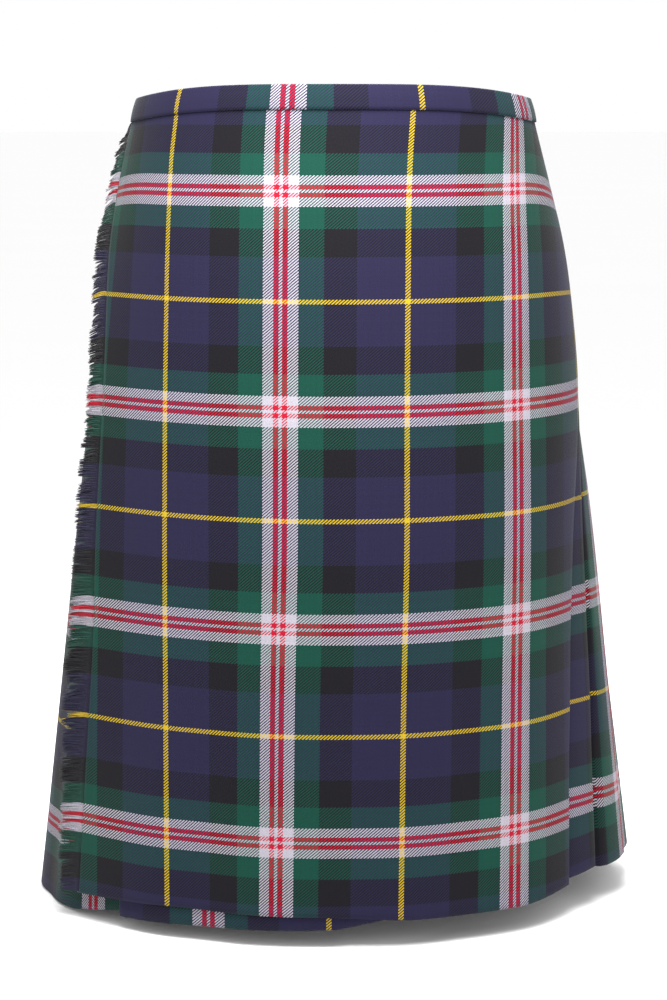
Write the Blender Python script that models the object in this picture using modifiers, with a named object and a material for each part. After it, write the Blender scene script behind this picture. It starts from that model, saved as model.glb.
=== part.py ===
"""A worn-shape kilt: over apron, under apron, sixteen knife pleats, waistband, straps and buckles.

The origin is the centre of the waist opening at the waistband's top edge. +Z is up, the over
apron faces -Y, and +X is the wearer's left. Angles run round the waist from the front (0)
through the wearer's left (90), the back (180) and the wearer's right (270 or -90).
"""
import math

import bpy
import numpy as np

KILT = "scottish_kilt"

# Cloth and its layers, in metres.
CLOTH = 0.0011
SEAM = 0.0003
BAND_LAYER = CLOTH + 0.0005
FREE_LAYER = CLOTH + 0.0011
PLEAT_LAYER = CLOTH + 0.0004
BAND_HEIGHT = 0.0165
BAND_FOOT = -0.020
BAND_END_GAP = 0.6
FREE_BELOW = -0.050

# Lengths from the waist to each lower edge.
WAIST_DIP = 0.0095
FRINGE_HEM = -0.590
OVER_HEM_COLUMNS = ("angle", "z")
OVER_HEM_ROWS = [
    (-55.0, -0.590),
    (-30.0, -0.586),
    (0.0, -0.587),
    (15.0, -0.590),
    (38.0, -0.5905),
    (52.0, -0.586),
]
UNDER_HEM_COLUMNS = ("angle", "z")
UNDER_HEM_ROWS = [(-45.0, -0.5975), (0.0, -0.5965), (20.0, -0.590), (45.0, -0.584)]
SIDE_HEM_COLUMNS = ("angle", "z")
SIDE_HEM_ROWS = [(252.0, -0.606), (290.0, -0.610), (302.0, -0.608), (318.0, -0.598)]
PLEAT_HEM_COLUMNS = ("station", "z")
PLEAT_HEM_ROWS = [(0.0, -0.5790), (1.0, -0.5795), (2.0, -0.5815), (4.0, -0.5880), (16.0, -0.606)]
HEM_LEVEL = -0.590

# The body form: half width, depth in front and behind, and where it is widest.
FORM_COLUMNS = ("z", "half_width", "front", "back", "widest_y")
FORM_ROWS = [
    (0.000, 0.1413, 0.1025, 0.100, 0.000),
    (-0.120, 0.1738, 0.1220, 0.125, 0.020),
    (-0.165, 0.1800, 0.1265, 0.132, 0.022),
    (-0.320, 0.1992, 0.1400, 0.148, 0.028),
    (-0.620, 0.2348, 0.1555, 0.173, 0.030),
]
FRONT_ROUNDNESS = 2.0
BACK_ROUNDNESS = 2.3

# Where the folds and edges run, in degrees round the waist. Lift and fringe_out turn the
# fringed edge away from the form, and tuck draws the folded edge into it.
EDGE_COLUMNS = (
    "z", "fringed", "folded", "lift", "fringe_out", "tuck",
    "under_fold", "under_turn", "under_free", "last_pleat",
)
EDGE_ROWS = [
    (0.000, -97.0, 97.0, 0.0000, 12.0, 0.0000, -56.0, -42.0, 88.0, 248.0),
    (-0.020, -93.0, 96.5, 0.0000, 18.0, 0.0000, -56.0, -42.0, 88.0, 248.0),
    (-0.050, -80.5, 96.0, 0.0008, 22.0, 0.0000, -56.5, -42.0, 87.0, 249.0),
    (-0.120, -69.5, 93.0, 0.0025, 16.0, 0.0000, -57.5, -42.0, 84.0, 250.0),
    (-0.165, -64.7, 90.0, 0.0045, 14.0, 0.0000, -57.0, -41.0, 80.0, 251.0),
    (-0.210, -61.5, 83.5, 0.0060, 13.0, 0.0008, -56.0, -39.0, 75.0, 252.0),
    (-0.260, -59.5, 75.0, 0.0070, 14.0, 0.0035, -53.5, -38.0, 68.0, 253.0),
    (-0.320, -57.6, 66.8, 0.0080, 15.0, 0.0060, -51.0, -36.0, 61.0, 254.0),
    (-0.400, -54.8, 60.5, 0.0080, 14.0, 0.0080, -48.0, -33.0, 55.0, 255.0),
    (-0.500, -53.8, 55.0, 0.0075, 12.0, 0.0090, -45.0, -29.0, 49.0, 256.0),
    (-0.620, -53.0, 50.5, 0.0050, 8.0, 0.0100, -42.0, -26.0, 44.0, 257.0),
]
FRINGE_REACH = 0.019
FRINGE_TOP = -0.040
LIFT_SPAN = 24.0
TUCK_SPAN = 38.0

# Knife pleats: each is folded under two faces deep, and opens towards the hem.
PLEATS = 16
DEEP = 2
OPEN_COLUMNS = ("z", "step")
OPEN_ROWS = [
    (0.000, 2.0 * PLEAT_LAYER),
    (-0.210, 2.0 * PLEAT_LAYER),
    (-0.260, 0.0044),
    (-0.320, 0.0054),
    (-0.400, 0.0062),
    (-0.620, 0.0074),
]
STAND_COLUMNS = ("fold", "tuck_share", "spiral_share")
STAND_ROWS = [
    (0.0, 1.00, 0.0),
    (4.0, -0.45, 4.0 / PLEATS),
    (10.0, 0.00, 10.0 / PLEATS),
    (PLEATS, 0.00, 1.0),
]
PLEAT_SPIRAL = 2.6 * BAND_LAYER
LOOSE = 0.0008

# Where the layers change depth. Slopes in stations are counted from the over apron's folded
# edge, and spans in degrees round the waist.
UNDER_RAMP = (-4.5, -2.3)
UNDER_FREE_MARGIN = 2.0
HIP_SPAN = 14.0
FOLD_SPAN = 3.0
BAND_DEEP_FROM = -DEEP - 0.2
BAND_SLOPE = 3.0
TURN_SLOPE = (1.0, 4.0)

# How finely the sheets are divided.
APRON_COLUMNS = 22
APRON_STATIONS = (-3.0, -2.5, -2.0, -1.5, -1.0, -0.5, 0.0)
TURN_STATIONS = (0.0, -0.5, -1.0, -1.5, -2.0)
SIDE_STATIONS = (PLEATS - 2.0, PLEATS - 1.5, PLEATS - 1.0, PLEATS - 0.5, PLEATS)
PLEAT_STEP = 0.5
FRONT_COLUMNS = 15
HIP_COLUMNS = 11
LEG_COLUMNS = 5
OVER_BAND_COLUMNS = 37
UNDER_BAND_COLUMNS = 31
BACK_BAND_COLUMNS = 41
PLEAT_LEVELS = (-0.120, -0.165, -0.230, -0.320, -0.460)
APRON_LEVELS = (-0.020, -0.050, -0.085, *PLEAT_LEVELS)

# Straps and buckles. Run is measured back along the waist from the strap's root, and height
# outward from the waistband's face.
STRAP_WIDTH = 0.024
STRAP_THICK = 0.0022
STRAP_TOP = -0.004
STRAP_END = 0.124
TIP = 0.012
TAB_WIDTH = 0.018
TAB_THICK = 0.0014
TAB_END = 0.100
BAR = 0.0026
BAR_GAP = 0.0005
PIN = 0.0020
FRONT_BAR = 0.048
HEEL_BAR = 0.066
BAR_HEIGHT = 0.0044
SIDES = {"right": (262.0, -1.0), "left": (106.0, 1.0)}
STRAP_COLUMNS = ("run", "height")
STRAP_ROWS = [
    (0.0000, 0.0018),
    (0.0100, 0.0018),
    (0.0200, 0.0018),
    (0.0300, 0.0018),
    (0.0400, 0.0018),
    (0.0500, 0.0016),
    (0.0570, 0.0050),
    (0.0635, 0.0087),
    (0.0690, 0.0087),
    (0.0800, 0.0058),
    (0.0950, 0.0052),
    (0.1050, 0.0030),
    (STRAP_END, 0.0026),
]
TIP_SHARE = 1.0 / 3.0
PIN_ROWS = [(0.0617, 0.0041), (0.0510, 0.0071), (0.0450, 0.0074)]
PIN_SLOT_RUN = 0.0575
PIN_SLOT_HEIGHT = 0.0050
PIN_SLOT_SIZE = (0.0105, 0.014, 0.0040)
BUCKLE_BEND = 0.003
TAB_COLUMNS = ("run", "height")
TAB_INNER_ROWS = [(TAB_END, 0.0011), (0.0840, 0.0011), (0.0720, 0.0012)]
TAB_OUTER_ROWS = [(0.0740, 0.0032), (0.0860, 0.0028), (0.0940, 0.0028)]
TAB_TURNS = (-90.0, -135.0, -180.0, -225.0, -270.0)

TARTAN_NAVY = (0.045, 0.050, 0.120, 1.0)
TARTAN_GREEN = (0.020, 0.110, 0.080, 1.0)
LEATHER_BLACK = (0.018, 0.017, 0.017, 1.0)
CHROME = (0.62, 0.62, 0.64, 1.0)


def clear_scene():
    """Remove every object that the scene starts with."""
    for old in list(bpy.data.objects):
        bpy.data.objects.remove(old, do_unlink=True)


def collection(name):
    """A new collection in the scene."""
    made = bpy.data.collections.new(name)
    bpy.context.scene.collection.children.link(made)
    return made


def material(name, colour, roughness, metallic=0.0):
    """A Principled material with one colour."""
    made = bpy.data.materials.new(name)
    made.use_nodes = True
    shader = made.node_tree.nodes["Principled BSDF"]
    shader.inputs["Base Color"].default_value = colour
    shader.inputs["Roughness"].default_value = roughness
    shader.inputs["Metallic"].default_value = metallic
    return made


def column(rows, names, name, where):
    """Read one column of a table at a place in its first column, straight between its rows."""
    at = names.index(name)
    rows = sorted(rows)
    return np.interp(where, [row[0] for row in rows], [row[at] for row in rows])


def form(name, z):
    """A size of the body form at height z."""
    return column(FORM_ROWS, FORM_COLUMNS, name, z)


def edge(name, z):
    """The course of an edge or fold at height z."""
    return column(EDGE_ROWS, EDGE_COLUMNS, name, z)


def step(z):
    """How far one pleat stands outside the next at height z."""
    return column(OPEN_ROWS, OPEN_COLUMNS, "step", z)


def fold_depth(fold, z):
    """How deep a pleat's outer fold lies: tucked in beside the over apron, then standing proud,
    and winding slowly inward round the back so that it ends beneath the over apron.
    """
    tucked = column(STAND_ROWS, STAND_COLUMNS, "tuck_share", fold)
    wound = column(STAND_ROWS, STAND_COLUMNS, "spiral_share", fold)
    return edge("tuck", z) * tucked + PLEAT_SPIRAL * wound


def outline(angle, z):
    """The form's section at height z: an oval whose back half is a little squarer."""
    turn = np.radians(angle)
    side = np.sin(turn)
    ahead = np.cos(turn)
    power = np.where(ahead >= 0.0, 2.0 / FRONT_ROUNDNESS, 2.0 / BACK_ROUNDNESS)
    widest = form("widest_y", z)
    reach = np.where(ahead >= 0.0, -(form("front", z) + widest), form("back", z) - widest)
    x = form("half_width", z) * np.sign(side) * np.abs(side) ** power
    y = widest + reach * np.abs(ahead) ** power
    return x, y


def outward(angle, z):
    """The level direction square to the form's section."""
    ahead_x, ahead_y = outline(angle + 0.05, z)
    back_x, back_y = outline(angle - 0.05, z)
    along_x = ahead_x - back_x
    along_y = ahead_y - back_y
    length = np.hypot(along_x, along_y)
    return along_y / length, -along_x / length


def on_form(angle, z, depth=0.0):
    """Points at the given depth inside the form's outer skin."""
    angle, z, depth = np.broadcast_arrays(np.asarray(angle, float), z, depth)
    x, y = outline(angle, z)
    out_x, out_y = outward(angle, z)
    return np.stack([x - out_x * depth, y - out_y * depth, z], axis=-1)


ROUND = np.arange(-180.0, 400.5, 0.5)


def girth(z):
    """Distance along the section at height z for each angle of ROUND, from the front."""
    x, y = outline(ROUND, z)
    run = np.concatenate([[0.0], np.cumsum(np.hypot(np.diff(x), np.diff(y)))])
    return run - np.interp(0.0, ROUND, run)


def face_width(z):
    """The width of one pleat's face at height z."""
    run = girth(z)
    first = np.interp(edge("folded", z), ROUND, run)
    last = np.interp(edge("last_pleat", z), ROUND, run)
    return (last - first) / PLEATS


def station_angle(station, z):
    """The angle of a pleat station, counted in faces from the over apron's folded edge."""
    run = girth(z)
    first = np.interp(edge("folded", z), ROUND, run)
    return np.interp(first + np.asarray(station) * face_width(z), run, ROUND)


def waist_dip(angle):
    """How far the top edge falls below its front and back, at the hips."""
    return WAIST_DIP * np.abs(np.sin(np.radians(angle))) ** 4


def cloth_sheet(name, points, home, skin, thickness=CLOTH):
    """A sheet through a grid of points (levels x columns), given the cloth's thickness.

    Each square's diagonal leans the same way round the waist, so that layers stay parallel.
    """
    levels, across = points.shape[:2]
    onward = points[:, 1:, 1] * points[:, :-1, 0] - points[:, 1:, 0] * points[:, :-1, 1] > 0.0
    faces = []
    for level in range(levels - 1):
        for col in range(across - 1):
            upper = level * across + col
            lower = upper + across
            if onward[level, col]:
                faces += [(upper, lower, lower + 1), (upper, lower + 1, upper + 1)]
            else:
                faces += [(upper, lower, upper + 1), (upper + 1, lower, lower + 1)]
    mesh = bpy.data.meshes.new(name)
    mesh.from_pydata(points.reshape(-1, 3).tolist(), [], faces)
    mesh.materials.append(skin)
    made = bpy.data.objects.new(name, mesh)
    home.objects.link(made)
    wall = made.modifiers.new("Cloth", "SOLIDIFY")
    wall.thickness = thickness
    wall.offset = 0.0
    wall.use_even_offset = True
    return made


def hang(angles_at, depths_at, heights, top_at, hem_at):
    """Grid of points for a sheet: its top row, the given heights, and its hem row.

    angles_at and depths_at give the sheet's columns at a height; top_at and hem_at give the
    height of its ends from the columns' angles.
    """
    rows = []
    for place in ("top", *heights, "hem"):
        if place == "top":
            z = top_at(angles_at(0.0))
            angles = angles_at(0.0)
            depths = depths_at(0.0)
        elif place == "hem":
            lowest = float(np.mean(hem_at(angles_at(HEM_LEVEL))))
            angles = angles_at(lowest)
            z = hem_at(angles)
            depths = depths_at(lowest)
        else:
            z = place
            angles = angles_at(place)
            depths = depths_at(place)
        rows.append(on_form(angles, z, depths))
    return np.array(rows)


def under_band(angles):
    """The height of the cloth's top edge, just below the waistband's fold."""
    return -CLOTH - SEAM - waist_dip(angles)


# --- over apron -------------------------------------------------------------------------

def apron_angles(z):
    """Columns of the over apron from its fringed edge to its folded edge."""
    last = station_angle(APRON_STATIONS, z)
    plain = np.linspace(edge("fringed", z), last[0], APRON_COLUMNS)
    return np.concatenate([plain[:-1], last])


def apron_lift(angles, z):
    """How far the over apron stands off the form near its fringed edge."""
    beyond = np.clip((edge("fringed", z) + LIFT_SPAN - angles) / LIFT_SPAN, 0.0, None)
    return edge("lift", z) * beyond ** 2


def apron_tuck(angles, z):
    """How far the over apron lies inside the form near its folded edge."""
    beyond = np.clip((angles - edge("folded", z) + TUCK_SPAN) / TUCK_SPAN, 0.0, None)
    return edge("tuck", z) * beyond ** 2


def over_apron(home, skin):
    """The over apron, with its folded edge and the leg that turns under it."""
    def angles_at(z):
        return np.concatenate([apron_angles(z), station_angle(TURN_STATIONS, z)])

    def depths_at(z):
        front = CLOTH / 2 - apron_lift(apron_angles(z), z) + apron_tuck(apron_angles(z), z)
        start = edge("tuck", z) + CLOTH / 2 + PLEAT_LAYER
        end = fold_depth(1.0, z) + (DEEP + 1) * step(z) + CLOTH / 2 - PLEAT_LAYER
        turned = np.linspace(start, end, len(TURN_STATIONS))
        return np.concatenate([front, turned])

    def hem_at(angles):
        return column(OVER_HEM_ROWS, OVER_HEM_COLUMNS, "z", angles)

    grid = hang(angles_at, depths_at, APRON_LEVELS, under_band, hem_at)
    return cloth_sheet("over_apron", grid, home, skin)


def apron_fringe(home, skin):
    """The reach of the unravelled edge, a plain strip that leaves the over apron's edge."""
    rows = []
    heights = (FRINGE_TOP, *APRON_LEVELS[1:], FRINGE_HEM)
    for z in heights:
        fringed = float(edge("fringed", z))
        root = on_form(fringed, z, CLOTH / 2 - edge("lift", z))
        out_x, out_y = outward(fringed, z)
        out = np.array([float(out_x), float(out_y), 0.0])
        along = np.array([out[1], -out[0], 0.0])
        swing = math.radians(float(edge("fringe_out", z)))
        away = along * math.cos(swing) + out * math.sin(swing)
        rows.append([root + away * reach for reach in (SEAM + CLOTH / 2, FRINGE_REACH / 2, FRINGE_REACH)])
    return cloth_sheet("apron_fringe", np.array(rows), home, skin)


# --- under apron and the wearer's right side ----------------------------------------------

def waist_share(z):
    """1 under the waistband, 0 where the layers hang free."""
    return float(np.interp(z, (FREE_BELOW, BAND_FOOT), (0.0, 1.0)))


def layer_depth(count, z):
    """Depth of the count-th layer in from the over apron, looser below the waistband."""
    share = waist_share(z)
    banded = (count + 1) * BAND_LAYER
    free = count * FREE_LAYER
    return CLOTH / 2 + free + (banded - free) * share


def under_depths(angles, z):
    """Depth of the under apron, which goes inside the first deep pleats."""
    shallow = layer_depth(1, z)
    deepest = edge("tuck", z) + (DEEP + 1) * step(z) + layer_depth(1, z) + 2.0 * LOOSE
    start = station_angle(UNDER_RAMP[0], z)
    end = station_angle(UNDER_RAMP[1], z)
    return np.interp(angles, (start, end), (shallow, deepest))


def under_apron(home, skin):
    """The under apron from its free edge to the reverse pleat, with the leg behind the fold."""
    def front_angles(z):
        start = station_angle(UNDER_RAMP[0], z)
        end = station_angle(UNDER_RAMP[1], z)
        plain = np.linspace(edge("under_fold", z), start, FRONT_COLUMNS)
        ramp = np.linspace(start, end, LEG_COLUMNS)
        last = max(float(edge("under_free", z)), float(end) + UNDER_FREE_MARGIN)
        free = np.linspace(end, last, LEG_COLUMNS)
        return np.concatenate([plain[:-1], ramp[:-1], free])

    def leg_angles(z):
        return np.linspace(edge("under_turn", z), edge("under_fold", z), LEG_COLUMNS)

    def angles_at(z):
        return np.concatenate([leg_angles(z), front_angles(z)])

    def depths_at(z):
        leg = np.full(LEG_COLUMNS, layer_depth(2, z))
        return np.concatenate([leg, under_depths(front_angles(z), z)])

    def hem_at(angles):
        return column(UNDER_HEM_ROWS, UNDER_HEM_COLUMNS, "z", angles)

    grid = hang(angles_at, depths_at, APRON_LEVELS, under_band, hem_at)
    return cloth_sheet("under_apron", grid, home, skin)


def right_side(home, skin):
    """The plain stretch from the reverse pleat round the wearer's right hip to the last pleat."""
    def angles_at(z):
        hidden = station_angle(SIDE_STATIONS, z)
        fold = 360.0 + edge("under_fold", z)
        hip = np.linspace(hidden[-1], fold, HIP_COLUMNS)
        covered = np.linspace(fold, 360.0 + edge("under_turn", z), LEG_COLUMNS)
        return np.concatenate([hidden, hip[1:], covered[1:]])

    def depths_at(z):
        angles = angles_at(z)
        first = angles[0]
        last = angles[len(SIDE_STATIONS) - 1]
        outer = PLEAT_SPIRAL + step(z) + LOOSE
        fold = 360.0 + float(edge("under_fold", z))
        inner = (DEEP + 1) * step(z) + PLEAT_SPIRAL + LOOSE
        knots = (first, last, last + HIP_SPAN, fold - HIP_SPAN, fold - FOLD_SPAN)
        values = (inner, outer, PLEAT_SPIRAL, PLEAT_SPIRAL, layer_depth(3, z) - CLOTH / 2)
        return CLOTH / 2 + np.interp(angles, knots, values)

    def hem_at(angles):
        return column(SIDE_HEM_ROWS, SIDE_HEM_COLUMNS, "z", angles)

    grid = hang(angles_at, depths_at, APRON_LEVELS, under_band, hem_at)
    return cloth_sheet("right_side", grid, home, skin)


# --- knife pleats -------------------------------------------------------------------------

def knife_pleat(number, home, skin):
    """One knife pleat: a leg that comes out from under its neighbour, a fold, and a leg back."""
    fold = number + 1.0
    inner = fold - DEEP - 1.0
    face = np.arange(inner, fold + PLEAT_STEP / 2, PLEAT_STEP)
    back = np.arange(fold, fold - DEEP - PLEAT_STEP / 2, -PLEAT_STEP)
    stations = np.concatenate([face, back])

    def angles_at(z):
        return station_angle(stations, z)

    def depths_at(z):
        deep = fold_depth(fold, z)
        rise = step(z)
        legs = deep + CLOTH / 2 + rise * (fold - face)
        start = deep + CLOTH / 2 + PLEAT_LAYER
        end = fold_depth(fold + 1.0, z) + CLOTH / 2 + (DEEP + 1) * rise - PLEAT_LAYER
        returning = start + (end - start) * (fold - back) / DEEP
        return np.concatenate([legs, returning])

    def hem_at(angles):
        return column(PLEAT_HEM_ROWS, PLEAT_HEM_COLUMNS, "z", stations)

    grid = hang(angles_at, depths_at, PLEAT_LEVELS, under_band, hem_at)
    return cloth_sheet(f"pleat_{number + 1:02d}", grid, home, skin)


# --- waistband ----------------------------------------------------------------------------

def band_sheet(name, angles, outer, inner, home, skin):
    """A stretch of waistband: a wall outside the cloth, folded over the cloth's top edge."""
    top = -CLOTH / 2 - waist_dip(angles)
    foot = -BAND_HEIGHT - waist_dip(angles)
    rows = [
        on_form(angles, foot, outer),
        on_form(angles, top, outer),
        on_form(angles, top, inner),
    ]
    return cloth_sheet(name, np.array(rows), home, skin)


def waistband_over(home, skin):
    """The over apron's stretch, ending at the fringed edge and at the folded edge."""
    angles = np.linspace(float(edge("fringed", 0.0)), float(edge("folded", 0.0)), OVER_BAND_COLUMNS)
    outer = np.full_like(angles, CLOTH / 2 - BAND_LAYER)
    deep_from = float(station_angle(BAND_DEEP_FROM, 0.0))
    deepest = (DEEP + 1) * step(0.0) + CLOTH
    inner = np.interp(angles, (deep_from - BAND_SLOPE, deep_from), (CLOTH, deepest))
    return band_sheet("waistband_over", angles, outer, inner, home, skin)


def waistband_under(home, skin):
    """The under apron's stretch, inside the over apron's."""
    free = float(edge("under_free", 0.0))
    fold = float(edge("under_fold", 0.0))
    turn = float(edge("under_turn", 0.0))
    angles = np.linspace(fold, free, UNDER_BAND_COLUMNS)
    cloth = under_depths(angles, 0.0)
    slope = (turn + TURN_SLOPE[0], turn + TURN_SLOPE[1])
    covered = np.interp(angles, slope, (layer_depth(3, 0.0), cloth[0]))
    inner = np.maximum(cloth, covered) + CLOTH / 2
    return band_sheet("waistband_under", angles, cloth - BAND_LAYER, inner, home, skin)


def band_cloth(angles):
    """Depth of the outermost cloth under the back stretch of the waistband."""
    fold = 360.0 + float(edge("under_fold", 0.0))
    start = float(edge("folded", 0.0))
    pleats_end = float(edge("last_pleat", 0.0))
    knots = (start, pleats_end, fold - HIP_SPAN, fold - FOLD_SPAN)
    depths = (0.0, PLEAT_SPIRAL, PLEAT_SPIRAL, layer_depth(3, 0.0) - CLOTH / 2)
    return np.interp(angles, knots, depths)


def waistband_back(home, skin):
    """The stretch over the pleats and the wearer's right side."""
    first = float(edge("folded", 0.0)) + BAND_END_GAP
    last = 360.0 + float(edge("under_fold", 0.0)) - 2.0 * BAND_END_GAP
    angles = np.linspace(first, last, BACK_BAND_COLUMNS)
    pleats_end = float(edge("last_pleat", 0.0))
    cloth = CLOTH / 2 + band_cloth(angles)
    thick = np.interp(angles, (pleats_end, pleats_end + HIP_SPAN), ((DEEP + 1) * step(0.0), 0.0))
    return band_sheet("waistband_back", angles, cloth - BAND_LAYER, cloth + thick + CLOTH / 2, home, skin)


# --- straps and buckles -------------------------------------------------------------------

def by_band(side, run, down, height):
    """Points beside the waistband: back along the waist, down from the strap's top, and out."""
    root, way = SIDES[side]
    along = girth(-BAND_HEIGHT)
    angle = np.interp(np.interp(root, ROUND, along) + way * np.asarray(run), along, ROUND)
    z = STRAP_TOP - np.asarray(down) - waist_dip(angle)
    return on_form(angle, z, band_cloth(angle) - BAND_LAYER - np.asarray(height))


def strap(side, home, skin):
    """A leather strap with a pointed tip, under the buckle's front bar and over its heel bar."""
    runs = np.array([row[0] for row in STRAP_ROWS[:-1]] + [STRAP_END - TIP, STRAP_END])
    heights = column(STRAP_ROWS, STRAP_COLUMNS, "height", runs)
    half = STRAP_WIDTH / 2 * np.where(runs < STRAP_END - TIP / 2, 1.0, TIP_SHARE)
    middle = STRAP_WIDTH / 2
    rows = [by_band(side, runs, middle + half * share, heights) for share in (-1.0, 0.0, 1.0)]
    return cloth_sheet(f"strap_{side}", np.array(rows), home, skin, STRAP_THICK)


def cut_pin_hole(belt, side, cutters):
    """Cut the slot that the buckle's pin goes through."""
    bpy.ops.mesh.primitive_cube_add(size=1.0)
    cutter = bpy.context.active_object
    cutter.name = f"pin_slot_{side}"
    for held in list(cutter.users_collection):
        held.objects.unlink(cutter)
    cutters.objects.link(cutter)
    middle = by_band(side, PIN_SLOT_RUN, STRAP_WIDTH / 2, PIN_SLOT_HEIGHT)
    onward = by_band(side, PIN_SLOT_RUN + PIN, STRAP_WIDTH / 2, PIN_SLOT_HEIGHT) - middle
    cutter.location = middle
    cutter.rotation_euler = (0.0, 0.0, math.atan2(onward[1], onward[0]))
    cutter.scale = PIN_SLOT_SIZE
    cutter.hide_render = True
    cutter.display_type = "WIRE"
    cut = belt.modifiers.new("Pin slot", "BOOLEAN")
    cut.operation = "DIFFERENCE"
    cut.object = cutter


def tab(side, home, skin):
    """The short leather tab that goes round the heel bar and is sewn to the waistband."""
    loop = BAR / 2 + SEAM + TAB_THICK / 2
    turn = np.radians(TAB_TURNS)
    round_bar = np.stack([HEEL_BAR + loop * np.cos(turn), BAR_HEIGHT + loop * np.sin(turn)], axis=1)
    path = np.concatenate([TAB_INNER_ROWS, round_bar, TAB_OUTER_ROWS])
    runs = path[:, TAB_COLUMNS.index("run")]
    heights = path[:, TAB_COLUMNS.index("height")]
    middle = STRAP_WIDTH / 2
    rows = [by_band(side, runs, middle + TAB_WIDTH / 2 * share, heights) for share in (-1.0, 1.0)]
    return cloth_sheet(f"tab_{side}", np.array(rows), home, skin, TAB_THICK)


def bent_rod(name, points, width, closed, home, skin):
    """A rod along a path: a curve with a round section."""
    path = bpy.data.curves.new(name, "CURVE")
    path.dimensions = "3D"
    path.bevel_depth = width / 2
    path.bevel_resolution = 2
    path.use_fill_caps = not closed
    spline = path.splines.new("POLY")
    spline.points.add(len(points) - 1)
    for point, place in zip(spline.points, points):
        point.co = (*place, 1.0)
    spline.use_cyclic_u = closed
    path.materials.append(skin)
    made = bpy.data.objects.new(name, path)
    home.objects.link(made)
    return made


def buckle(side, home, skin):
    """The buckle's frame: a rounded rectangle round the strap, with front bar and heel bar."""
    beyond = BAR_GAP + BAR / 2
    top = -beyond
    foot = STRAP_WIDTH + beyond
    bend = BUCKLE_BEND
    corners = [
        (FRONT_BAR, top + bend),
        (FRONT_BAR + bend, top),
        (HEEL_BAR - bend, top),
        (HEEL_BAR, top + bend),
        (HEEL_BAR, foot - bend),
        (HEEL_BAR - bend, foot),
        (FRONT_BAR + bend, foot),
        (FRONT_BAR, foot - bend),
    ]
    points = [by_band(side, run, down, BAR_HEIGHT) for run, down in corners]
    return bent_rod(f"buckle_{side}", points, BAR, True, home, skin)


def buckle_pin(side, home, skin):
    """The buckle's pin, through the strap's hole and over the front bar."""
    points = [by_band(side, run, STRAP_WIDTH / 2, height) for run, height in PIN_ROWS]
    return bent_rod(f"pin_{side}", points, PIN, False, home, skin)


def build():
    """Build the kilt."""
    clear_scene()
    home = collection(KILT)
    navy = material("tartan_navy", TARTAN_NAVY, 0.9)
    green = material("tartan_green", TARTAN_GREEN, 0.9)
    over_apron(home, navy)
    apron_fringe(home, green)
    under_apron(home, navy)
    right_side(home, green)
    for number in range(PLEATS):
        knife_pleat(number, home, green if number % 2 else navy)
    waistband_over(home, navy)
    waistband_under(home, navy)
    waistband_back(home, navy)
    cutters = collection("cutters")
    leather = material("black_leather", LEATHER_BLACK, 0.45)
    chrome = material("buckle_chrome", CHROME, 0.2, 1.0)
    for side in SIDES:
        belt = strap(side, home, leather)
        cut_pin_hole(belt, side, cutters)
        tab(side, home, leather)
        buckle(side, home, chrome)
        buckle_pin(side, home, chrome)


build()
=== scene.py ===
import math
import bpy
import numpy as np
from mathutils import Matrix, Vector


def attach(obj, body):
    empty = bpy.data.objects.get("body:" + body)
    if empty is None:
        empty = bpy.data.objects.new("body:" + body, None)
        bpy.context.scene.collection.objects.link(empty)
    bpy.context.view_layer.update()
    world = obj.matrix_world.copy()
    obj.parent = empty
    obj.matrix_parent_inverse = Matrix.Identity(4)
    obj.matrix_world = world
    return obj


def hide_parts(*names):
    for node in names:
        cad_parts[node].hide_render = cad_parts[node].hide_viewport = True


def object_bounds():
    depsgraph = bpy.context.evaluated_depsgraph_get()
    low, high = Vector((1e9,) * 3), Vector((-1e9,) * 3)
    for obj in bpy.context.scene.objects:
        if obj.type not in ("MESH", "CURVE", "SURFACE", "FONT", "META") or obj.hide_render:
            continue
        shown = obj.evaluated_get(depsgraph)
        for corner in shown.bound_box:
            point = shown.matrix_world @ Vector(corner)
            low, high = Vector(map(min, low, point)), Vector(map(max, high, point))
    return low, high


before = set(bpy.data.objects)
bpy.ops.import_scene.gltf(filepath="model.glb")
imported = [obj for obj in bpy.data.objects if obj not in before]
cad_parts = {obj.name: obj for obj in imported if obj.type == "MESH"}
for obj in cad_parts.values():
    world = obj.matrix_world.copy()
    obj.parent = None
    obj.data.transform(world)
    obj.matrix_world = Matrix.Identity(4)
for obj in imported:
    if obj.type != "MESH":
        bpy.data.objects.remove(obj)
cad_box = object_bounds()

# --- Over apron ---
# The outer front panel: one flat width of worsted wool tartan in a 2/2 twill. Its edge on the
# wearer's right is unravelled to a fringe, and its other edge is folded under like a pleat.
# The lower edge is the selvedge, and the top edge is sewn into the waistband.

CLOTH = 0.0011
BAND_LAYER = CLOTH + 0.0005
FREE_LAYER = CLOTH + 0.0011
PLEAT_LAYER = CLOTH + 0.0004
WAIST_DIP = 0.0095
TOP_GAP = 0.0014
BAND_FOOT = -0.020
FREE_BELOW = -0.050
PLEATS = 16
DEEP = 2
PLEAT_SPIRAL = 2.6 * BAND_LAYER

# The form under the cloth: its half width, how far it reaches ahead and behind, and where it
# is widest, in metres. The roundness is 2 for an ellipse, and more for a squarer section.
FORM_COLUMNS = ("z", "half_width", "front", "back", "widest_y")
FORM_ROWS = [
    (0.000, 0.1413, 0.1025, 0.100, 0.000),
    (-0.120, 0.1738, 0.1220, 0.125, 0.020),
    (-0.165, 0.1800, 0.1265, 0.132, 0.022),
    (-0.320, 0.1992, 0.1400, 0.148, 0.028),
    (-0.620, 0.2348, 0.1555, 0.173, 0.030),
]
FRONT_ROUNDNESS = 2.0
BACK_ROUNDNESS = 2.3

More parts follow.
